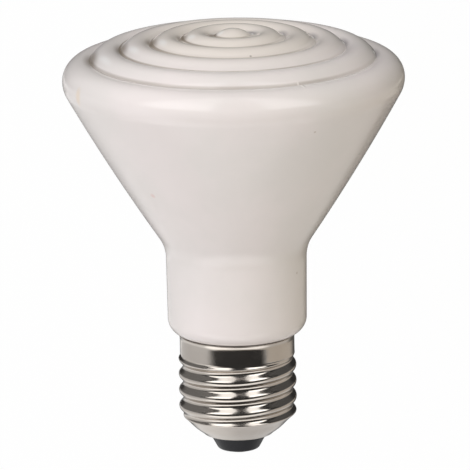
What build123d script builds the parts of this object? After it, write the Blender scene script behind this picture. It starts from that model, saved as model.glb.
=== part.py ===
from build123d import *
from math import atan2, ceil, cos, pi, radians, sin, sqrt, tan
import os

# Ceramic heat emitter with an E27 screw cap, in millimetres.
# The origin is the tip of the centre contact, +Z runs up the axis to the ringed face.

# Screw thread of the cap
thread_pitch = 25.4 / 7
crest_dia = 26.2
thread_depth = 1.1
crest_radius = 0.95
flank_angle = 52
thread_start = 6.2
thread_start_angle = 68
thread_overrun = 1.4
thread_from_seam = 240

# Screw shell, drawn from thin sheet
shell_wall = 0.4
skirt_inset = 0.35
cap_height = 27.5
skirt_height = 4.95
lip_dia = 12.4
lip_height = 3.9
nose_height = 9.3
nose_bulge = 0.55
run_out_start = 6.6
run_out_end = 9.8
run_in_depth = 0.95

# Contact and glass at the tip
solder_drop = 0.45
solder_dia = 3.6
solder_flat_dia = 1.6
plate_thickness = 0.45
plate_dia = 5.2
eyelet_dia = 2.6
eyelet_wall = 0.4
eyelet_height = 3.2
glass_face_dia = 8.9
glass_edge_radius = 0.9
glass_inset = 0.1
glass_top = 7.6

# Ceramic body, outside
collar_overhang = 2.65
collar_taper = 0.23
collar_corner = 3.7
collar_length = 20.1
neck_fillet = 8.9
rim_dia = 75.5
flank_angle_at_neck = 34
flank_radius = 470
rim_shoulder_radius = 5.9
bead_radius = 4.8
groove_count = 5
first_groove_dia = 9.2
rim_width = 6.55
ring_rise = 1.9
disc_rise = 2.3
face_rise = 9
dome_radius = 120
groove_radius = 0.4

# Ceramic body, inside
cement_thickness = 0.7
spigot_wall = 2.4
wiring_space = 6.4
flank_wall = 3.2
face_wall = 1.7
roof_corner = 1
chamber_depth = 3.4
chamber_boss_dia = 12
cover_seat = 3

# Heating element and its cover
coil_width = 3.2
coil_half_turns = 5
coil_start_radius = 9.5
cover_thickness = 2.5
fit_gap = 0.1

# Leads and their insulation
wire_dia = 1
sleeve_bore = 1.3
sleeve_dia = 2.6
sleeve_length = 21
lead_offset = 3.6
lead_bend = 3
gather_drop = 3
lead_clearance = 4
weld_clearance = 2.7

# Worked out from the above
crest_r = crest_dia / 2
root_r = crest_r - thread_depth
skirt_r = crest_r - skirt_inset
skirt_start = cap_height - skirt_height
run_in_start = skirt_start - run_in_depth
thread_turns = ceil((skirt_start + thread_overrun - thread_start) / thread_pitch)
bore_r = root_r - shell_wall
skirt_bore_r = skirt_r - shell_wall
lip_r = lip_dia / 2
glass_bottom = solder_drop + plate_thickness
collar_r = skirt_r + collar_overhang
rim_r = rim_dia / 2
spigot_r = bore_r - cement_thickness
spigot_end = glass_top + wiring_space
neck_bore_r = spigot_r - spigot_wall


def point(r, z):
    """A point of a profile, as radius and height."""
    return Vector(r, z)


def chain(*points):
    """Straight edges through a row of profile points."""
    return [Line(a, b) for a, b in zip(points, points[1:])]


def arc_about(centre, start, end):
    """The short arc from start to end round a centre."""
    radius = (start - centre).length
    middle = (start - centre).normalized() + (end - centre).normalized()
    return ThreePointArc(start, centre + middle.normalized() * radius, end)


def turned(edges):
    """A solid turned about the axis from a closed profile."""
    return revolve(Plane.XZ * make_face(edges), axis=Axis.Z)


def bulge_centre(start, end, bulge):
    """Centre of the arc that leaves the chord from start to end by bulge, to its right."""
    chord = end - start
    radius = (chord.length ** 2 / 4 + bulge ** 2) / (2 * bulge)
    away = Vector(chord.Y, -chord.X).normalized()
    return (start + end) / 2 - away * (radius - bulge)


# Screw shell

nose_start = point(lip_r, lip_height)
nose_end = point(root_r, nose_height)
nose_centre = bulge_centre(nose_start, nose_end, nose_bulge)
nose_radius = (nose_start - nose_centre).length
inner_nose_radius = nose_radius - shell_wall


def inner_nose_at_height(z):
    """Point of the nose's inner wall at a height."""
    return point(nose_centre.X + sqrt(inner_nose_radius ** 2 - (z - nose_centre.Y) ** 2), z)


def inner_nose_at_radius(r):
    """Point of the nose's inner wall at a radius."""
    return point(r, nose_centre.Y - sqrt(inner_nose_radius ** 2 - (r - nose_centre.X) ** 2))


def shell_core():
    """The shell without its thread: nose, root cylinder and plain skirt, closed inside."""
    step = skirt_r - root_r
    edges = chain(
        nose_end,
        point(root_r, skirt_start),
        point(skirt_r, skirt_start + step),
        point(skirt_r, cap_height),
        point(0, cap_height),
        point(0, lip_height),
        nose_start,
    )
    return turned(edges + [arc_about(nose_centre, nose_start, nose_end)])


def thread_section():
    """Section of the thread's ridge: a rounded crest, straight flanks and a foot in the wall."""
    centre_r = crest_r - crest_radius
    tilt = radians(90 - flank_angle)
    touch_r = centre_r + crest_radius * sin(tilt)
    touch_z = crest_radius * cos(tilt)
    foot_r = root_r - 2 * shell_wall
    flank_r = root_r - shell_wall / 2
    flank_z = touch_z + (touch_r - flank_r) / tan(radians(flank_angle))
    upper, lower = point(touch_r, touch_z), point(touch_r, -touch_z)
    crest = ThreePointArc(upper, point(crest_r, 0), lower)
    sides = chain(
        lower,
        point(flank_r, -flank_z),
        point(foot_r, -flank_z),
        point(foot_r, flank_z),
        point(flank_r, flank_z),
        upper,
    )
    return Plane.XZ * make_face([crest] + sides)


def thread_envelope():
    """What the thread stays inside: it fades on the nose below and under the skirt above."""
    clear_r = crest_r + shell_wall
    nose_r = nose_centre.X + sqrt(nose_radius ** 2 - (run_out_start - nose_centre.Y) ** 2)
    top = skirt_start + skirt_r - root_r
    return turned(
        chain(
            point(0, run_out_start),
            point(nose_r - shell_wall / 2, run_out_start),
            point(clear_r, run_out_end),
            point(clear_r, run_in_start),
            point(bore_r, top),
            point(0, top),
            point(0, run_out_start),
        )
    )


def thread_ridge():
    """Right-handed ridge, swept up the shell and trimmed where it runs in and out."""
    path = Helix(thread_pitch, thread_pitch * thread_turns, root_r)
    ridge = sweep(thread_section(), path=path, is_frenet=True)
    return Pos(0, 0, thread_start) * Rot(0, 0, thread_from_seam) * ridge & thread_envelope()


def shell_cavity():
    """Space inside the shell: nose, bore and the wider skirt bore."""
    lip_inside = inner_nose_at_height(lip_height)
    bore_start = inner_nose_at_radius(bore_r)
    step = skirt_bore_r - bore_r
    edges = chain(
        bore_start,
        point(bore_r, skirt_start),
        point(skirt_bore_r, skirt_start + step),
        point(skirt_bore_r, cap_height),
        point(0, cap_height),
        point(0, lip_height),
        lip_inside,
    )
    return turned(edges + [arc_about(nose_centre, lip_inside, bore_start)])


def screw_shell():
    """Nickel-plated shell, turned about its axis until the thread starts where it should."""
    shell = shell_core() + thread_ridge() - shell_cavity()
    return Rot(0, 0, thread_start_angle - thread_from_seam) * shell


# Glass and contact at the tip

def glass_insulator():
    """Black glass that closes the nose and carries the contact plate."""
    hole_r = eyelet_dia / 2
    face_r = glass_face_dia / 2
    lip_inside = inner_nose_at_height(lip_height)
    top_outside = inner_nose_at_height(glass_top)
    corner = point(face_r, glass_bottom)
    glass_rim = point(lip_r - glass_inset, lip_height)
    wall = (glass_rim - corner).normalized()
    setback = glass_edge_radius * tan((pi / 2 - radians(90 - wall.get_angle(Vector(1, 0)))) / 2)
    before = corner - Vector(setback, 0)
    after = corner + wall * setback
    centre = before + Vector(0, glass_edge_radius)
    edges = chain(after, glass_rim, lip_inside)
    edges.append(arc_about(nose_centre, lip_inside, top_outside))
    edges += chain(top_outside, point(hole_r, glass_top), point(hole_r, glass_bottom), before)
    edges.append(arc_about(centre, before, after))
    return turned(edges)


def centre_contact():
    """Brass plate under the glass, with an eyelet up through it."""
    outer, inner = eyelet_dia / 2, eyelet_dia / 2 - eyelet_wall
    top = glass_bottom + eyelet_height
    return turned(
        chain(
            point(inner, solder_drop),
            point(plate_dia / 2, solder_drop),
            point(plate_dia / 2, glass_bottom),
            point(outer, glass_bottom),
            point(outer, top),
            point(inner, top),
            point(inner, solder_drop),
        )
    )


def contact_solder():
    """Solder that fills the eyelet round the lead and stands below it, worn flat at the tip."""
    inner, wire_r = eyelet_dia / 2 - eyelet_wall, wire_dia / 2
    top = glass_bottom + eyelet_height
    rim = point(solder_dia / 2, solder_drop)
    flat_end = point(solder_flat_dia / 2, 0)
    tip = point(0, 0)
    radius = ((rim.X - flat_end.X) ** 2 + solder_drop ** 2) / (2 * solder_drop)
    edges = [Line(tip, flat_end), arc_about(point(flat_end.X, radius), flat_end, rim)]
    edges += chain(
        rim,
        point(inner, solder_drop),
        point(inner, top),
        point(wire_r, top),
        point(wire_r, solder_drop),
        point(0, solder_drop),
        tip,
    )
    return turned(edges)


# Ceramic body

neck_lean = radians(flank_angle_at_neck)
collar_top = point(collar_r + collar_taper, cap_height + collar_length)
flank_centre = collar_top + Vector(-cos(neck_lean), sin(neck_lean)) * flank_radius
shoulder_run = rim_r - rim_shoulder_radius - flank_centre.X
shoulder_drop = sqrt((flank_radius - rim_shoulder_radius) ** 2 - shoulder_run ** 2)
shoulder_centre = flank_centre + Vector(shoulder_run, -shoulder_drop)
shoulder = flank_centre + (shoulder_centre - flank_centre).normalized() * flank_radius
widest = shoulder_centre + Vector(rim_shoulder_radius, 0)
lean = atan2(shoulder.X - collar_top.X, shoulder.Y - collar_top.Y)
dome_top = widest.Y + face_rise
first_groove_r = first_groove_dia / 2
ring_pitch = (rim_r - rim_width - first_groove_r) / (groove_count - 1)
groove_radii = [first_groove_r + ring_pitch * k for k in range(groove_count)]


def dome_height(r):
    """Height of the groove floors, which lie on a shallow dome."""
    return dome_top - dome_radius + sqrt(dome_radius ** 2 - r ** 2)


def rim_edges():
    """Slightly convex flank, shoulder, and the rounded rim bead down to the last groove."""
    flank = arc_about(flank_centre, collar_top, shoulder)
    shoulder_arc = arc_about(shoulder_centre, shoulder, widest)
    bead_centre = widest - Vector(bead_radius, 0)
    inset = groove_radii[-1] - bead_centre.X
    bead_end = point(groove_radii[-1], bead_centre.Y + sqrt(bead_radius ** 2 - inset ** 2))
    bead_top = bead_centre + Vector(0, bead_radius)
    edges = [flank, shoulder_arc, arc_about(bead_centre, widest, bead_top)]
    edges.append(arc_about(bead_centre, bead_top, bead_end))
    return edges, bead_end


def ring_edges(start):
    """The rings of the face, each an arc from groove to groove, and the middle disc."""
    stops = [point(r, dome_height(r)) for r in groove_radii[-2::-1]]
    edges = []
    for stop in stops:
        centre = bulge_centre(start, stop, ring_rise)
        edges.append(arc_about(centre, start, stop))
        start = stop
    top = point(0, start.Y + disc_rise)
    radius = (start.X ** 2 + disc_rise ** 2) / (2 * disc_rise)
    edges.append(arc_about(point(0, top.Y - radius), start, top))
    return edges, top


def body_outside():
    """Solid form of the ceramic: spigot, collar, flank, rim and ringed face."""
    corner_start = point(collar_r - collar_corner, cap_height)
    corner_end = point(collar_r, cap_height + collar_corner)
    corner = arc_about(point(corner_start.X, corner_end.Y), corner_start, corner_end)
    rim, groove = rim_edges()
    rings, top = ring_edges(groove)
    edges = chain(
        top,
        point(0, spigot_end),
        point(spigot_r, spigot_end),
        point(spigot_r, cap_height),
        corner_start,
    )
    edges += [corner, Line(corner_end, collar_top)] + rim + rings
    face = make_face(edges)
    neck = [v for v in face.vertices() if (Vector(v) - collar_top).length < 0.01]
    face = fillet(neck, neck_fillet)
    grooves = [point(r, dome_height(r)) for r in groove_radii[:-1]] + [groove]
    floors = [v for v in face.vertices() if min((Vector(v) - g).length for g in grooves) < 0.01]
    face = fillet(floors, groove_radius)
    return revolve(Plane.XZ * face, axis=Axis.Z)


def cavity_radius(z):
    """Radius of the hollow inside the flank at a height, one wall in from the outside."""
    return collar_top.X - flank_wall / cos(lean) + (z - collar_top.Y) * tan(lean)


chamber_top = dome_height(groove_radii[-1]) - face_wall
roof_height = chamber_top - chamber_depth
roof_r = cavity_radius(roof_height)
corner_setback = roof_corner / tan((pi / 2 - lean) / 2)
cover_r = roof_r - corner_setback - fit_gap
bore_top = collar_top.Y - (cavity_radius(collar_top.Y) - neck_bore_r) / tan(lean)


def body_cavity():
    """Bore of the neck, the hollow behind the face and the chamber of the element."""
    roof_end = point(roof_r, roof_height)
    chamber_r = cover_r - cover_seat
    boss_r = chamber_boss_dia / 2
    face = make_face(
        chain(
            point(0, spigot_end),
            point(neck_bore_r, spigot_end),
            point(neck_bore_r, bore_top),
            roof_end,
            point(chamber_r, roof_height),
            point(chamber_r, chamber_top),
            point(boss_r, chamber_top),
            point(boss_r, roof_height),
            point(0, roof_height),
            point(0, spigot_end),
        )
    )
    corner = [v for v in face.vertices() if (Vector(v) - roof_end).length < 0.01]
    face = fillet(corner, roof_corner)
    return revolve(Plane.XZ * face, axis=Axis.Z)


def ceramic_body():
    """One cast and glazed piece, open at its neck."""
    return body_outside() - body_cavity()


# Element, cover and leads

coil_bottom = chamber_top - coil_width
cover_bottom = roof_height - cover_thickness
gather_height = bore_top - gather_drop
weld_height = spigot_end - weld_clearance


def coil_path():
    """Flat spiral of half turns, each tangent to the next, from the middle outwards."""
    step = ring_pitch / 2
    edges = []
    start = Vector(coil_start_radius, 0)
    for half in range(coil_half_turns):
        radius = coil_start_radius + step / 2 + step * half
        side = 1 if half % 2 == 0 else -1
        centre = start - Vector(side * radius, 0)
        end = start - Vector(side * 2 * radius, 0)
        edges.append(ThreePointArc(start, centre + Vector(0, side * radius), end))
        start = end
    return edges, start


def heating_coil():
    """Close-wound resistance coil, laid as a spiral: the outer envelope of its winding."""
    edges, _ = coil_path()
    section = Plane.XZ * Pos(coil_start_radius, 0) * Rectangle(coil_width, coil_width)
    return Pos(0, 0, coil_bottom + coil_width / 2) * sweep(section, path=Wire(edges))


def element_cover():
    """Refractory cement disc that closes the chamber, drilled for the two leads."""
    _, outer_end = coil_path()
    base = (Align.CENTER, Align.CENTER, Align.MIN)
    disc = Cylinder(cover_r, cover_thickness, align=base)
    drill = Cylinder(wire_dia / 2 + fit_gap, cover_thickness, align=base)
    for x in (coil_start_radius, outer_end.X):
        disc -= Pos(x, 0, 0) * drill
    return Pos(0, 0, cover_bottom) * disc


def wire_along(*points):
    """Round wire through points, with the same bend at each inner one."""
    path = FilletPolyline(*points, radius=lead_bend)
    section = Plane(origin=path @ 0, z_dir=path % 0) * Circle(wire_dia / 2)
    return sweep(section, path=path)


def lead_contact():
    """Lead from the inner end of the element down the bore to the centre contact."""
    straight_end = spigot_end + lead_clearance / 2
    return wire_along(
        (coil_start_radius, 0, coil_bottom),
        (coil_start_radius, 0, cover_bottom - lead_clearance),
        (lead_offset, 0, gather_height),
        (lead_offset, 0, straight_end),
        (0, 0, straight_end - lead_clearance),
        (0, 0, solder_drop),
    )


def lead_shell():
    """Lead from the outer end of the element down the bore to its weld inside the shell."""
    _, outer_end = coil_path()
    return wire_along(
        (outer_end.X, 0, coil_bottom),
        (outer_end.X, 0, cover_bottom - lead_clearance),
        (-lead_offset, 0, gather_height),
        (-lead_offset, 0, weld_height),
        (-bore_r, 0, weld_height),
    )


def sleeve(x):
    """Insulating tube over the straight run of a lead in the bore."""
    base = (Align.CENTER, Align.CENTER, Align.MAX)
    tube = Cylinder(sleeve_dia / 2, sleeve_length, align=base)
    tube -= Cylinder(sleeve_bore / 2, sleeve_length, align=base)
    return Pos(x, 0, gather_height - wire_dia) * tube


def sleeve_contact_lead():
    return sleeve(lead_offset)


def sleeve_shell_lead():
    return sleeve(-lead_offset)


def cap_cement():
    """Cement that fixes the shell on the spigot."""
    step = skirt_bore_r - bore_r
    return turned(
        chain(
            point(spigot_r, spigot_end),
            point(bore_r, spigot_end),
            point(bore_r, skirt_start),
            point(skirt_bore_r, skirt_start + step),
            point(skirt_bore_r, cap_height),
            point(spigot_r, cap_height),
            point(spigot_r, spigot_end),
        )
    )


builders = [
    ceramic_body,
    heating_coil,
    element_cover,
    lead_contact,
    lead_shell,
    sleeve_contact_lead,
    sleeve_shell_lead,
    cap_cement,
    screw_shell,
    glass_insulator,
    centre_contact,
    contact_solder,
]

os.makedirs("parts", exist_ok=True)
for build in builders:
    export_step(build(), f"parts/{build.__name__}.step")
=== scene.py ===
from math import acos, atan2, cos, hypot, pi, radians, sin, sqrt, tan

import bpy
import numpy as np
from mathutils import Matrix, Vector


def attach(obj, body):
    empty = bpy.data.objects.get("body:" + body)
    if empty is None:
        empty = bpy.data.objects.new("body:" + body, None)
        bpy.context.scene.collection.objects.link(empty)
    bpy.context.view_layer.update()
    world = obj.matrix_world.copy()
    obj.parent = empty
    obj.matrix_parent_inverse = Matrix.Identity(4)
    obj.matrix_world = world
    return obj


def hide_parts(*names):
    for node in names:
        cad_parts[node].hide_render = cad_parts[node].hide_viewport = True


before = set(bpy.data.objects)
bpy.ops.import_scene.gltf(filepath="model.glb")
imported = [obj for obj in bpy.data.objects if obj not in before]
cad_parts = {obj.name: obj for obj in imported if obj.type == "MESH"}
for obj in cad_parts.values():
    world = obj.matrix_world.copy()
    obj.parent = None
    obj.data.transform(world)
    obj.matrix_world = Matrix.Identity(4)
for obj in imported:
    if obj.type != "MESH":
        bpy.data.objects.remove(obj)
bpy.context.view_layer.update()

# Sizes are in millimetres until a mesh is made
MM = 0.001
TURN = 2 * pi

# Sizes of the part: those of its solids, but the grooves, thread, lip and skirt are closer to the photo
cap_height = 27.5
collar_r, collar_taper, collar_corner, collar_length = 15.4, 0.23, 3.7, 20.1
neck_fillet, neck_reach = 8.9, 3
rim_r, neck_lean, flank_r, rim_shoulder, bead_r = 37.75, radians(34), 470, 5.9, 4.8
groove_count, first_groove_r, rim_width = 5, 4.6, 6.55
ring_rise, disc_rise, face_rise, dome_r, groove_fill = 1.9, 2.3, 9, 120, 3.0
spigot_r, spigot_end, neck_bore_r = 10.9, 14, 8.5
flank_wall, face_wall, chamber_depth = 3.2, 1.7, 3.4
cover_seat, cover_inset, boss_r = 3, 0.8, 6
crest_r, root_r, pitch, crest_round, root_round = 13.1, 12, 25.4 / 7, 1.05, 0.9
thread_start, thread_start_angle, thread_slope = 6.2, radians(68), radians(42)
run_out_start, run_out_end, run_in_start, run_in_end = 6.6, 9.8, 22.0, 23.2
last_turn_start, last_turn_run, last_turn_drop = 21.3, 1.2, 0.4
run_out_fill, thread_foot_fill = 0.35, 0.3
cap_shift = -0.13
skirt_r, skirt_start, shell_wall = 12.75, 22.1, 0.4
lip_r, lip_z, lip_round, nose_z, nose_bulge = 6.5, 4.4, 0.1, 9.3, 0.8
glass_z, glass_face_r, glass_round, glass_top, eyelet_r = 0.9, 4.5, 1.0, 7.6, 1.3

# Top edge of the skirt, as its reach past the skirt's radius and its height
skirt_edge = [
    (0.01, 26.7),
    (0.06, 26.9),
    (0.12, 27.15),
    (0.19, 27.37),
    (0.18, 27.42),
    (0.1, 27.47),
    (-0.1, 27.5),
]

# Steps between the points of a mesh
face_step, flank_step, glass_step = 0.16, 1.2, 0.3
body_segments, shell_segments, glass_segments = 240, 256, 128


# Profiles, as rows of (radius, height)

def arc(centre, radius, start, end, step=radians(5)):
    """Points of an arc between two angles, ends included."""
    count = max(2, int(abs(end - start) / step) + 1)
    angles = np.linspace(start, end, count)
    return [(centre[0] + radius * cos(a), centre[1] + radius * sin(a)) for a in angles]


def rounded(points, radii):
    """A row of straight runs, with each inner corner rounded to its radius (0 leaves it sharp)."""
    row = [points[0]]
    for before, corner, after, radius in zip(points, points[1:], points[2:], radii):
        if radius == 0:
            row.append(corner)
            continue
        c = np.array(corner, float)
        u = np.array(before, float) - c
        v = np.array(after, float) - c
        u, v = u / np.linalg.norm(u), v / np.linalg.norm(v)
        half = acos(float(u @ v)) / 2
        centre = c + (u + v) / np.linalg.norm(u + v) * radius / sin(half)
        ends = [c + u * radius / tan(half) - centre, c + v * radius / tan(half) - centre]
        start, end = (atan2(e[1], e[0]) for e in ends)
        end = start + (end - start + pi) % TURN - pi
        row += arc(centre, radius, start, end)
    return row + [points[-1]]


def refine(row, longest):
    """The same row with no run longer than this."""
    out = [row[0]]
    for a, b in zip(row, row[1:]):
        run, rise = b[0] - a[0], b[1] - a[1]
        count = max(1, int(np.ceil(hypot(run, rise) / longest)))
        out += [(a[0] + run * k / count, a[1] + rise * k / count) for k in range(1, count + 1)]
    return out


def smooth_max(a, b, width):
    """The larger of two heights, with the corner between them filled."""
    return max(a, b) + max(width - abs(a - b), 0) ** 2 / (4 * width)


def ease(t):
    """A smooth step from none to one."""
    t = min(max(t, 0), 1)
    return t * t * (3 - 2 * t)


collar_top = (collar_r + collar_taper, cap_height + collar_length)
flank_centre = (collar_top[0] - flank_r * cos(neck_lean), collar_top[1] + flank_r * sin(neck_lean))
shoulder_r = rim_r - rim_shoulder
shoulder_reach = flank_r - rim_shoulder
shoulder_angle = -acos((shoulder_r - flank_centre[0]) / shoulder_reach)
shoulder_centre = (shoulder_r, flank_centre[1] + shoulder_reach * sin(shoulder_angle))
widest = (rim_r, shoulder_centre[1])
dome_top = widest[1] + face_rise
ring_pitch = (rim_r - rim_width - first_groove_r) / (groove_count - 1)
groove_radii = [first_groove_r + ring_pitch * k for k in range(groove_count)]
bead_centre = (widest[0] - bead_r, widest[1])


def dome_height(r):
    """Height of the grooves' floors, before they are filled."""
    return dome_top - dome_r + sqrt(dome_r ** 2 - r ** 2)


def ring_circles():
    """Centre and radius of each circle that the face's profile follows, from the middle outwards."""
    feet = [(r, dome_height(r)) for r in groove_radii]
    last_r = groove_radii[-1]
    feet[-1] = (last_r, bead_centre[1] + sqrt(bead_r ** 2 - (last_r - bead_centre[0]) ** 2))
    disc_r = (first_groove_r ** 2 + disc_rise ** 2) / (2 * disc_rise)
    circles = [((0, feet[0][1] + disc_rise - disc_r), disc_r)]
    for (r0, z0), (r1, z1) in zip(feet, feet[1:]):
        chord = hypot(r1 - r0, z1 - z0)
        radius = (chord ** 2 / 4 + ring_rise ** 2) / (2 * ring_rise)
        drop = radius - ring_rise
        centre_r = (r0 + r1) / 2 + (z1 - z0) / chord * drop
        centre_z = (z0 + z1) / 2 - (r1 - r0) / chord * drop
        circles.append(((centre_r, centre_z), radius))
    return circles + [(bead_centre, bead_r)]


circles = ring_circles()


def face_height(r):
    """Height of the ringed face at a radius, with filled grooves."""
    heights = []
    for (cr, cz), radius in circles:
        if abs(r - cr) < radius:
            heights.append(cz + sqrt(radius ** 2 - (r - cr) ** 2))
    heights.sort()
    if len(heights) == 1:
        return heights[0]
    return smooth_max(heights[-1], heights[-2], groove_fill)


def flank_row():
    """The slightly convex flank, from the collar's top to the shoulder."""
    return arc(flank_centre, flank_r, -neck_lean, shoulder_angle, radians(0.14))


def body_outside_profile():
    """Outside of the ceramic, from the spigot's end up to the middle of the face."""
    flank = flank_row()
    beyond = next(k for k, p in enumerate(flank) if p[1] - collar_top[1] > neck_reach)
    foot = [(spigot_r, spigot_end), (spigot_r, cap_height), (collar_r, cap_height)]
    row = rounded(foot + [collar_top, flank[beyond]], [0, collar_corner, neck_fillet])
    row += flank[beyond + 1:]
    row += arc(shoulder_centre, rim_shoulder, shoulder_angle, 0, radians(3))[1:]
    row = refine(row, flank_step)
    bead = arc(bead_centre, bead_r, 0, pi / 2, radians(4))[1:]
    face = [(r, face_height(r)) for r in np.arange(bead_centre[0] - face_step, 0, -face_step)]
    return row + bead + face + [(0, face_height(0))]


def body_inside_profile():
    """Hollow of the ceramic, from the middle of its roof down the bore to the spigot's end."""
    shoulder = flank_row()[-1]
    slope = (shoulder[0] - collar_top[0]) / (shoulder[1] - collar_top[1])
    inside_r = collar_top[0] - flank_wall * hypot(1, slope)
    chamber_z = dome_height(groove_radii[-1]) - face_wall
    roof_z = chamber_z - chamber_depth
    roof_r = inside_r + (roof_z - collar_top[1]) * slope
    chamber_r = roof_r - cover_seat - cover_inset
    bore_top = collar_top[1] - (inside_r - neck_bore_r) / slope
    boss = [(0, roof_z), (boss_r, roof_z), (boss_r, chamber_z)]
    chamber = [(chamber_r, chamber_z), (chamber_r, roof_z), (roof_r, roof_z)]
    return boss + chamber + [(neck_bore_r, bore_top), (neck_bore_r, spigot_end)]


# Meshes

def turned(name, row, segments, closed=False, shape=None, shift=0):
    """A mesh turned from a profile about an axis at shift; shape gives a point's radius from its place."""
    angles = np.linspace(0, TURN, segments, endpoint=False)
    verts, faces, rings = [], [], []
    for r, z in row:
        if r < 1e-6:
            rings.append([len(verts)])
            verts.append((0, 0, z * MM))
            continue
        rings.append(list(range(len(verts), len(verts) + segments)))
        for a in angles:
            reach = shape(r, z, a) if shape else r
            verts.append(((reach * cos(a) + shift) * MM, reach * sin(a) * MM, z * MM))
    pairs = list(zip(rings, rings[1:]))
    if closed:
        pairs.append((rings[-1], rings[0]))
    for low, high in pairs:
        if len(low) == 1 and len(high) == 1:
            continue
        for i in range(segments):
            j = (i + 1) % segments
            if len(low) == 1:
                faces.append((low[0], high[j], high[i]))
            elif len(high) == 1:
                faces.append((low[i], low[j], high[0]))
            else:
                faces.append((low[i], low[j], high[j], high[i]))
    mesh = bpy.data.meshes.new(name)
    mesh.from_pydata(verts, [], faces)
    mesh.validate()
    piece = bpy.data.objects.new(name, mesh)
    bpy.context.scene.collection.objects.link(piece)
    mesh.shade_smooth()
    return piece


def dress(piece, node, material):
    """Make a piece stand for a node of the solids and material."""
    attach(piece, "root")
    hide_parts(node)
    piece.data.materials.append(material)
    return piece


# Materials

def new_material(name):
    """An empty material with its shader."""
    material = bpy.data.materials.new(name)
    material.use_nodes = True
    nodes = material.node_tree.nodes
    nodes.clear()
    output = nodes.new("ShaderNodeOutputMaterial")
    shader = nodes.new("ShaderNodeBsdfPrincipled")
    material.node_tree.links.new(shader.outputs["BSDF"], output.inputs["Surface"])
    return material, shader


class Graph:
    """Short ways to build a node tree."""

    def __init__(self, tree):
        self.nodes, self.links = tree.nodes, tree.links

    def put(self, socket, value):
        if isinstance(value, bpy.types.NodeSocket):
            self.links.new(value, socket)
        elif value is not None:
            socket.default_value = value

    def math(self, operation, a, b=None):
        node = self.nodes.new("ShaderNodeMath")
        node.operation = operation
        for socket, value in zip(node.inputs, (a, b)):
            self.put(socket, value)
        return node.outputs[0]

    def times(self, a, b):
        return self.math("MULTIPLY", a, b)

    def plus(self, a, b):
        return self.math("ADD", a, b)

    def rest(self, a):
        """What is left of one."""
        return self.math("SUBTRACT", 1.0, a)

    def mix(self, factor, a, b):
        node = self.nodes.new("ShaderNodeMix")
        node.data_type = "RGBA"
        self.put(node.inputs["Factor"], factor)
        self.put(node.inputs["A"], a)
        self.put(node.inputs["B"], b)
        return node.outputs["Result"]

    def noise(self, where, scale, detail=3, roughness=0.5):
        node = self.nodes.new("ShaderNodeTexNoise")
        self.put(node.inputs["Vector"], where)
        node.inputs["Scale"].default_value = scale
        node.inputs["Detail"].default_value = detail
        node.inputs["Roughness"].default_value = roughness
        return node.outputs["Fac"]

    def ramp(self, value, low, high, from_zero=0.0, to_one=1.0):
        node = self.nodes.new("ShaderNodeMapRange")
        node.interpolation_type = "SMOOTHSTEP"
        self.put(node.inputs["Value"], value)
        self.put(node.inputs["From Min"], low)
        self.put(node.inputs["From Max"], high)
        self.put(node.inputs["To Min"], from_zero)
        self.put(node.inputs["To Max"], to_one)
        return node.outputs["Result"]

    def band(self, value, low, high, soft):
        """One between two values, fading to none over a soft edge outside them."""
        up = self.ramp(value, low - soft, low)
        down = self.ramp(value, high, high + soft, 1.0, 0.0)
        return self.math("MULTIPLY", up, down)

    def split(self, vector):
        node = self.nodes.new("ShaderNodeSeparateXYZ")
        self.put(node.inputs[0], vector)
        return node.outputs

    def place(self):
        return self.nodes.new("ShaderNodeTexCoord").outputs["Object"]

    def bump(self, height, strength, distance, under=None):
        node = self.nodes.new("ShaderNodeBump")
        node.inputs["Strength"].default_value = strength
        node.inputs["Distance"].default_value = distance
        self.put(node.inputs["Height"], height)
        if under is not None:
            self.put(node.inputs["Normal"], under)
        return node.outputs["Normal"]

    def patch(self, where, spot, turn, sizes, inner=0.2):
        """One inside an oval patch of the surface, fading to none at its edge; sizes are half widths."""
        node = self.nodes.new("ShaderNodeMapping")
        node.vector_type = "TEXTURE"
        self.put(node.inputs["Vector"], where)
        node.inputs["Location"].default_value = [v * MM for v in spot]
        node.inputs["Rotation"].default_value = (0, 0, turn)
        node.inputs["Scale"].default_value = [v * MM for v in sizes]
        length = self.nodes.new("ShaderNodeVectorMath")
        length.operation = "LENGTH"
        self.links.new(node.outputs["Vector"], length.inputs[0])
        return self.ramp(length.outputs["Value"], inner, 1.0, 1.0, 0.0)


def srgb(r, g, b):
    """A colour given as it appears, 0 to 255, as the shader wants it."""
    def linear(v):
        v /= 255
        return v / 12.92 if v <= 0.04045 else ((v + 0.055) / 1.055) ** 2.4
    return (linear(r), linear(g), linear(b), 1)


# Painted shade line in each groove, where the ring in front hides the groove's floor: its start from the
# groove's middle, its strength, its width and its soft edge
groove_edges = [-0.82, -0.28, -0.02, 0.22, 0.16]
groove_strengths = [0.9, 0.9, 0.9, 0.9, 0.6]
groove_line, groove_line_soft = 0.25, 0.3

# Painted shade and painted highlights at the ends of each groove, by angle about the axis: none at the
# camera's side, positive to the right
left_shade_angle, left_light_angle = radians(-86), radians(-72)
hollow_angle, hollow_step = radians(112), radians(4.5)
glint_lead, glint_step = radians(9), radians(1)

# Radii between which the warmer glaze in the middle of the face ends, and its strength
warm_end, warm_strength = (14, 27), 0.9

# Colours of the glaze, and of the painted shade and painted highlights in and beside its grooves
glaze_light, glaze_dark = srgb(229, 221, 220), srgb(223, 217, 215)
glaze_warm, groove_shade_brown = srgb(224, 216, 209), srgb(140, 128, 114)
left_end_shade, right_end_shade = srgb(126, 112, 96), srgb(138, 134, 140)
glint_white, left_end_light = srgb(250, 248, 246), srgb(242, 242, 242)

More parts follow.
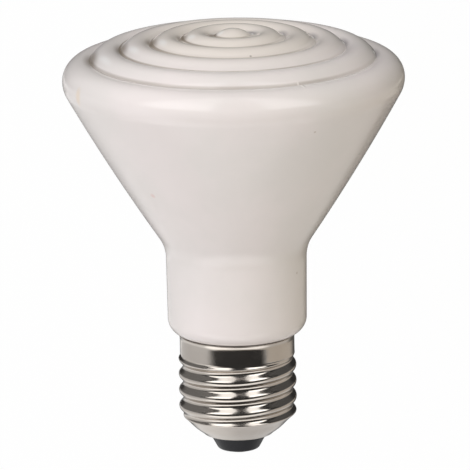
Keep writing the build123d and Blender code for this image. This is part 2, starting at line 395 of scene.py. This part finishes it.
# Marks in the glaze: place, turn about the axis, half widths, colour and strength
glaze_marks = [
    ((14.5, -29.3, 90.2), radians(-63.6), (2.3, 0.42, 1.2), srgb(250, 246, 242), 0.85),
    ((14.9, -29.1, 90.2), radians(-63.6), (1.9, 0.28, 0.9), srgb(150, 140, 130), 0.6),
    ((3.8, -16.9, 93.9), 0, (0.42, 0.42, 0.5), srgb(128, 118, 108), 0.8),
    ((-18.0, -18.6, 63.5), 0, (0.9, 0.9, 0.9), srgb(214, 176, 170), 0.5),
    ((-33.9, -16.4, 85.4), radians(-64), (1.6, 1.7, 2.9), srgb(228, 200, 160), 0.35),
    ((17.4, -31.2, 80.2), 0, (0.4, 0.4, 0.4), srgb(170, 150, 135), 0.5),
    ((13.3, -8.1, 42.9), 0, (0.4, 0.4, 0.4), srgb(165, 145, 130), 0.5),
]


def groove_shade_lines(g, colour, side, radius, top):
    """The glaze's colour with a thin painted shade line in each groove, fading out at the right and the back.
    """
    shade_line_fade = g.plus(g.ramp(side, -2.4, -0.5, 1.0, 0.7), g.ramp(side, 0.5, 1.25, 0.0, -0.62))
    shade_line_fade = g.times(shade_line_fade, g.ramp(side, -3.1, -2.1, 0.08, 1.0))
    for groove, edge, strength in zip(groove_radii, groove_edges, groove_strengths):
        inward = g.math("SUBTRACT", (groove + edge) * MM, radius)
        line = g.band(inward, -groove_line * MM, 0.0, groove_line_soft * MM)
        line = g.times(g.times(line, shade_line_fade), g.times(top, strength))
        # Paint the shade line into the glaze's colour
        colour = g.mix(line, colour, groove_shade_brown)
    return colour


def groove_end_light_and_shade(g, colour, where):
    """The glaze's colour with painted shade and a painted highlight at each groove's left end, and painted
    shade and a painted glint at its right end.
    """
    for k, groove in enumerate(groove_radii):
        floor_z = face_height(groove)
        hollow = hollow_angle - hollow_step * k
        glint = hollow - glint_lead + glint_step * k
        # Each row: painted shade at the left end, painted shade at the right end, a painted glint there, and a
        # painted highlight on the ring inside the left end
        painted_ends = [
            (left_shade_angle, groove, floor_z, (1.5 + 0.25 * k, 2.5 + 1.6 * k, 2.5), 0.1, 0.7, left_end_shade),
            (hollow, groove, floor_z, (1.7, 2.6 + 1.0 * k, 2.5), 0.1, 0.65, right_end_shade),
            (glint, groove - 0.2, floor_z, (0.4, 0.8 + 0.2 * k, 2.5), 0.3, 0.8, glint_white),
            (left_light_angle, groove - 1.7, floor_z + 0.8, (1.3, 1.4 + 1.2 * k, 2.5), 0.1, 0.5, left_end_light),
        ]
        for angle, r, height, sizes, inner, strength, shade in painted_ends:
            spot = (r * sin(angle), -r * cos(angle), height)
            painted_end = g.patch(where, spot, angle - pi / 2, sizes, inner)
            colour = g.mix(g.times(painted_end, strength), colour, shade)
    return colour


def glaze_material():
    material, shader = new_material("glazed_ceramic")
    g = Graph(material.node_tree)
    where = g.place()
    x, y, z = g.split(where)
    radius = g.math("SQRT", g.plus(g.times(x, x), g.times(y, y)))
    side = g.math("ARCTAN2", x, g.times(y, -1.0))
    top = g.ramp(z, (widest[1] + 2) * MM, (widest[1] + 3) * MM)
    cloud = g.noise(where, 45, 4)
    colour = g.mix(g.ramp(cloud, 0.35, 0.65), glaze_light, glaze_dark)
    warm = g.ramp(radius, warm_end[0] * MM, warm_end[1] * MM, warm_strength, 0.0)
    colour = g.mix(g.times(top, warm), colour, glaze_warm)
    # Painted shade lines in the grooves
    colour = groove_shade_lines(g, colour, side, radius, top)
    # Painted shade and painted highlights at the grooves' ends
    colour = groove_end_light_and_shade(g, colour, where)
    for spot, turn, sizes, shade, strength in glaze_marks:
        mark = g.patch(where, spot, turn, sizes)
        colour = g.mix(g.times(mark, strength), colour, shade)
    g.put(shader.inputs["Base Color"], colour)
    normal = g.bump(g.noise(where, 60, 2), 0.10, 0.0008)
    normal = g.bump(g.noise(where, 420, 2), 0.02, 0.0003, normal)
    g.put(shader.inputs["Normal"], normal)
    g.put(shader.inputs["Roughness"], g.ramp(cloud, 0.3, 0.7, 0.1, 0.16))
    shader.inputs["IOR"].default_value = 1.5
    return material


def nickel_material():
    material, shader = new_material("nickel_plate")
    g = Graph(material.node_tree)
    where = g.place()
    cloud = g.noise(where, 160, 4, 0.6)
    colour = g.mix(cloud, srgb(206, 199, 191), srgb(196, 188, 180))
    g.put(shader.inputs["Base Color"], colour)
    shader.inputs["Metallic"].default_value = 1
    g.put(shader.inputs["Roughness"], g.ramp(cloud, 0.3, 0.7, 0.12, 0.22))
    g.put(shader.inputs["Normal"], g.bump(g.noise(where, 900, 2), 0.05, 0.0002))
    return material


def glass_material():
    material, shader = new_material("black_glass")
    g = Graph(material.node_tree)
    where = g.place()
    cloud = g.noise(where, 300, 4, 0.6)
    g.put(shader.inputs["Base Color"], g.mix(cloud, srgb(15, 16, 21), srgb(24, 25, 31)))
    g.put(shader.inputs["Roughness"], g.ramp(cloud, 0.3, 0.7, 0.28, 0.42))
    g.put(shader.inputs["Normal"], g.bump(cloud, 0.1, 0.0003))
    shader.inputs["Specular IOR Level"].default_value = 0.28
    return material


def plain_metal(name, light, dark, roughness):
    material, shader = new_material(name)
    g = Graph(material.node_tree)
    cloud = g.noise(g.place(), 500, 4, 0.6)
    g.put(shader.inputs["Base Color"], g.mix(cloud, light, dark))
    shader.inputs["Metallic"].default_value = 1
    g.put(shader.inputs["Roughness"], g.ramp(cloud, 0.3, 0.7, roughness, roughness + 0.15))
    return material


def earthen(name, light, dark):
    material, shader = new_material(name)
    g = Graph(material.node_tree)
    where = g.place()
    cloud = g.noise(where, 700, 5, 0.7)
    g.put(shader.inputs["Base Color"], g.mix(cloud, light, dark))
    shader.inputs["Roughness"].default_value = 0.85
    g.put(shader.inputs["Normal"], g.bump(cloud, 0.3, 0.0003))
    return material


# The ceramic body

def ceramic_body():
    row = body_outside_profile() + body_inside_profile()
    piece = turned("ceramic_glazed_body", row, body_segments, closed=True)
    return dress(piece, "ceramic_body", glaze)


# The screw shell

def nose_circle():
    """Centre and radius of the nose's profile."""
    start, end = np.array((lip_r, lip_z)), np.array((root_r, nose_z))
    chord = end - start
    length = np.linalg.norm(chord)
    radius = (length ** 2 / 4 + nose_bulge ** 2) / (2 * nose_bulge)
    away = np.array((chord[1], -chord[0])) / length
    return (start + end) / 2 - away * (radius - nose_bulge), radius


nose_centre, nose_radius = nose_circle()
thread_corner = (crest_round + root_round) * (1 / cos(thread_slope) - 1)
thread_root = crest_r - pitch / 2 * tan(thread_slope) + thread_corner


def plain_radius(z):
    """Radius of the shell without its thread."""
    if z < nose_z:
        return nose_centre[0] + sqrt(nose_radius ** 2 - (z - nose_centre[1]) ** 2)
    return min(max(root_r, root_r + z - skirt_start), skirt_r)


def nose_inside(z):
    """Radius of the nose's inner wall at a height."""
    return nose_centre[0] + sqrt((nose_radius - shell_wall) ** 2 - (z - nose_centre[1]) ** 2)


def ridge_radius(z, a):
    """Radius of the rolled thread: round crest and root, with straight flanks between."""
    z += last_turn_drop * ease((z - last_turn_start) / last_turn_run)
    start = thread_start + (a - thread_start_angle) / TURN * pitch
    offset = abs((z - start + pitch / 2) % pitch - pitch / 2)
    if offset < crest_round * sin(thread_slope):
        return crest_r - crest_round + sqrt(crest_round ** 2 - offset ** 2)
    gap = pitch / 2 - offset
    if gap < root_round * sin(thread_slope):
        return thread_root + root_round - sqrt(root_round ** 2 - gap ** 2)
    return thread_root + root_round * (1 - 1 / cos(thread_slope)) + gap * tan(thread_slope)


def shell_radius(z, a):
    """Radius of the shell; the thread fades on the nose below and under the skirt above."""
    plain = plain_radius(z)
    low_r = plain_radius(run_out_start) - shell_wall / 2
    share = (z - run_out_start) / (run_out_end - run_out_start)
    limit = low_r + share * (crest_r + shell_wall - low_r)
    ridge = -smooth_max(-ridge_radius(z, a), -limit, run_out_fill)
    fade = 1 - ease((z - run_in_start) / (run_in_end - run_in_start))
    return plain + (smooth_max(plain, ridge, thread_foot_fill) - plain) * fade


def screw_shell():
    """Outside of the shell, with its lip turned in and its top edge flared."""
    thread_top, threaded_end = 24.2, 24.3
    heights = list(np.linspace(lip_z, nose_z, 28)[1:]) + list(np.linspace(nose_z, thread_top, 140)[1:])
    heights += [25, 25.8, 26.3]
    lip = [(lip_r - shell_wall, lip_z + lip_round), (lip_r - lip_round, lip_z)]
    row = lip + [(plain_radius(z), z) for z in heights]
    row += [(skirt_r + reach, z) for reach, z in skirt_edge]

    def shape(r, z, a):
        plain = z < lip_z + 1.1 * lip_round or z > threaded_end
        return r if plain else shell_radius(z, a)

    piece = turned("nickel_screw_shell", row, shell_segments, shape=shape, shift=cap_shift)
    return dress(piece, "screw_shell", nickel)


def glass_insulator():
    """Black glass: a cone with a rounded edge under the shell's lip, and its hidden plug above."""
    corners = [(eyelet_r, glass_z), (glass_face_r, glass_z), (lip_r - lip_round, lip_z)]
    row = refine(rounded(corners, [glass_round]), glass_step)
    plug = [(nose_inside(z), z) for z in np.linspace(lip_z + shell_wall, glass_top, 6)]
    row += plug + [(eyelet_r, glass_top)]
    piece = turned("black_glass_insulator", row, glass_segments, closed=True, shift=cap_shift)
    return dress(piece, "glass_insulator", glass)


glaze = glaze_material()
nickel = nickel_material()
glass = glass_material()
brass = plain_metal("contact_brass", srgb(196, 164, 104), srgb(160, 128, 78), 0.3)
solder = plain_metal("solder", srgb(176, 176, 176), srgb(140, 140, 142), 0.35)
wire = plain_metal("lead_wire", srgb(180, 176, 168), srgb(150, 146, 138), 0.3)
coil = plain_metal("resistance_wire", srgb(90, 86, 82), srgb(60, 58, 56), 0.5)
cement = earthen("refractory_cement", srgb(205, 200, 190), srgb(180, 174, 162))
cap_fill = earthen("cap_cement", srgb(190, 186, 176), srgb(166, 160, 148))
tube = earthen("sleeve_ceramic", srgb(228, 224, 214), srgb(212, 206, 196))

node_materials = {
    "centre_contact": brass,
    "contact_solder": solder,
    "lead_contact": wire,
    "lead_shell": wire,
    "heating_coil": coil,
    "element_cover": cement,
    "cap_cement": cap_fill,
    "sleeve_contact_lead": tube,
    "sleeve_shell_lead": tube,
}
for node, material in node_materials.items():
    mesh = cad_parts[node].data
    mesh.materials.clear()
    mesh.materials.append(material)

ceramic_body()
screw_shell()
glass_insulator()


# Camera

camera_elevation = radians(14.13)
camera_distance = 1.5
look_at = Vector((0, 0, 0.05))
camera_roll = 0.016
sensor_width = 36
frame_px = 470
focal_px = 6772
centre_px = (235.99, 233.72)


def add_camera():
    data = bpy.data.cameras.new("camera")
    data.sensor_width = sensor_width
    data.lens = focal_px / frame_px * sensor_width
    data.clip_end = 20
    data.shift_x = (frame_px / 2 - centre_px[0]) / frame_px
    data.shift_y = (centre_px[1] - frame_px / 2) / frame_px
    camera = bpy.data.objects.new("camera", data)
    away = Vector((0, -cos(camera_elevation), sin(camera_elevation)))
    place = Matrix.Translation(look_at + away * camera_distance)
    aim = (-away).to_track_quat("-Z", "Y").to_matrix().to_4x4()
    camera.matrix_world = place @ aim @ Matrix.Rotation(-camera_roll, 4, "Z")
    bpy.context.scene.collection.objects.link(camera)
    bpy.context.scene.camera = camera


add_camera()


# Stage: a white floor, and a light tent drawn by direction

floor_side, floor_front, floor_back, floor_height = 3.0, -0.42, 3.0, -0.22
white = (1, 1, 1, 1)

# Lamps of the tent, as azimuth from the camera's side, positive to the right, and power
lamps = [((-64, -18), 2.2), ((24, 58), 2.4)]
lamp_soft = 5
lamp_foot, lamp_shoulder, lamp_head_level = (13, 19), (44, 54), 0.72

# Light of the tent on matt surfaces, from left to right, and from the front below
ambient_from, ambient_to = (-0.5, 0.8), (0.68, 0.06)
fill_azimuth, fill_height, fill_power = (-45, 60), (-90, 8), 0.35

# What metal and glaze see of the room: dark, with a table edge below and two paler walls
table_azimuth, table_power = (-44, 48), 0.65
room_power = 0.035
walls = [((-140, -86), 12, 0.17), ((92, 130), 14, 0.07)]


def floor_reflection(g, x, y):
    """How bright shiny surfaces see each place of the floor, and how warm."""
    middle = g.band(x, -0.3, 0.25, 0.12)
    near_front = g.times(g.band(y, -0.28, -0.12, 0.06), middle)
    far_front = g.times(g.ramp(y, -0.38, -0.28, 1.0, 0.0), middle)
    left_part = g.times(g.band(x, -0.4, -0.1, 0.12), 0.25)
    right_part = g.ramp(x, 0.15, 0.6, 0.72, 0.6)
    level = g.plus(g.plus(left_part, right_part), g.times(near_front, 0.8))
    level = g.times(level, g.rest(g.times(far_front, 0.3)))
    across = g.times(x, g.ramp(y, 0.85, 1.15, 1.0, 0.5))
    behind = g.times(g.band(across, -0.14, 0.42, 0.28), g.ramp(y, 0.25, 0.5))
    level = g.times(level, g.rest(g.times(behind, 0.85)))
    warmth = g.math("MAXIMUM", far_front, g.ramp(x, 0.1, 0.7))
    return level, warmth


def add_floor():
    """White floor that ends in front of the part, so that metal shows the dark room beyond it."""
    across, along = (-floor_side, floor_side), (floor_front, floor_back)
    corners = [(across[i], along[j], floor_height) for i, j in ((0, 0), (1, 0), (1, 1), (0, 1))]
    mesh = bpy.data.meshes.new("floor")
    mesh.from_pydata(corners, [], [(0, 1, 2, 3)])
    floor = bpy.data.objects.new("floor", mesh)
    bpy.context.scene.collection.objects.link(floor)
    material, shader = new_material("floor")
    g = Graph(material.node_tree)
    x, y, z = g.split(g.place())
    cast = g.mix(g.ramp(x, -0.1, 0.4), srgb(250, 249, 248), srgb(200, 190, 172))
    g.put(shader.inputs["Base Color"], cast)
    shader.inputs["Roughness"].default_value = 0.9
    light_path = g.nodes.new("ShaderNodeLightPath")
    seen, glossy = light_path.outputs["Is Camera Ray"], light_path.outputs["Is Glossy Ray"]
    level, warmth = floor_reflection(g, x, y)
    shine = g.nodes.new("ShaderNodeEmission")
    g.put(shine.inputs["Strength"], g.plus(g.times(level, glossy), seen))
    g.put(shine.inputs["Color"], g.mix(g.times(warmth, glossy), white, srgb(255, 246, 234)))
    both = g.nodes.new("ShaderNodeMixShader")
    g.put(both.inputs[0], g.math("MAXIMUM", g.times(seen, 0.97), glossy))
    g.links.new(shader.outputs["BSDF"], both.inputs[1])
    g.links.new(shine.outputs["Emission"], both.inputs[2])
    g.links.new(both.outputs["Shader"], g.nodes["Material Output"].inputs["Surface"])
    mesh.materials.append(material)


def add_world():
    """Two tall soft lamps in a pale tent, which shiny surfaces see as a dark room above the table."""
    world = bpy.data.worlds.new("tent")
    bpy.context.scene.world = world
    world.use_nodes = True
    g = Graph(world.node_tree)
    g.nodes.clear()
    output = g.nodes.new("ShaderNodeOutputWorld")
    background = g.nodes.new("ShaderNodeBackground")
    g.links.new(background.outputs["Background"], output.inputs["Surface"])
    x, y, z = g.split(g.nodes.new("ShaderNodeTexCoord").outputs["Generated"])
    azimuth = g.times(g.math("ARCTAN2", x, g.times(y, -1.0)), 180 / pi)
    height = g.times(g.math("ARCSINE", z), 180 / pi)
    light_path = g.nodes.new("ShaderNodeLightPath")
    seen, glossy = light_path.outputs["Is Camera Ray"], light_path.outputs["Is Glossy Ray"]

    tall = g.times(g.ramp(height, *lamp_foot), g.ramp(height, *lamp_shoulder, 1.0, lamp_head_level))
    left, right = (g.times(g.times(g.band(azimuth, *span, lamp_soft), tall), power) for span, power in lamps)

    fill = g.times(g.band(azimuth, *fill_azimuth, 25), g.band(height, *fill_height, 12))
    matt = g.plus(g.ramp(x, *ambient_from, *ambient_to), g.times(fill, fill_power))

    below = g.times(g.ramp(height, -4, 1, 1.0, 0.0), g.ramp(y, 0.45, 0.7, 1.0, 0.0))
    shiny = g.times(g.times(below, g.rest(g.band(azimuth, *table_azimuth, 24))), table_power)
    shiny = g.plus(shiny, room_power)
    for span, soft, power in walls:
        shiny = g.plus(shiny, g.times(g.band(azimuth, *span, soft), power))

    level = g.plus(g.times(matt, g.rest(glossy)), g.times(shiny, glossy))
    level = g.times(g.plus(level, g.plus(left, right)), g.rest(seen))
    g.put(background.inputs["Strength"], g.plus(level, seen))
    tint = g.mix(g.ramp(x, 0.35, 0.95), white, srgb(255, 246, 200))
    colour = g.mix(glossy, tint, white)
    g.put(background.inputs["Color"], g.mix(seen, colour, white))


add_floor()
add_world()

bpy.context.scene.view_settings.view_transform = "Standard"
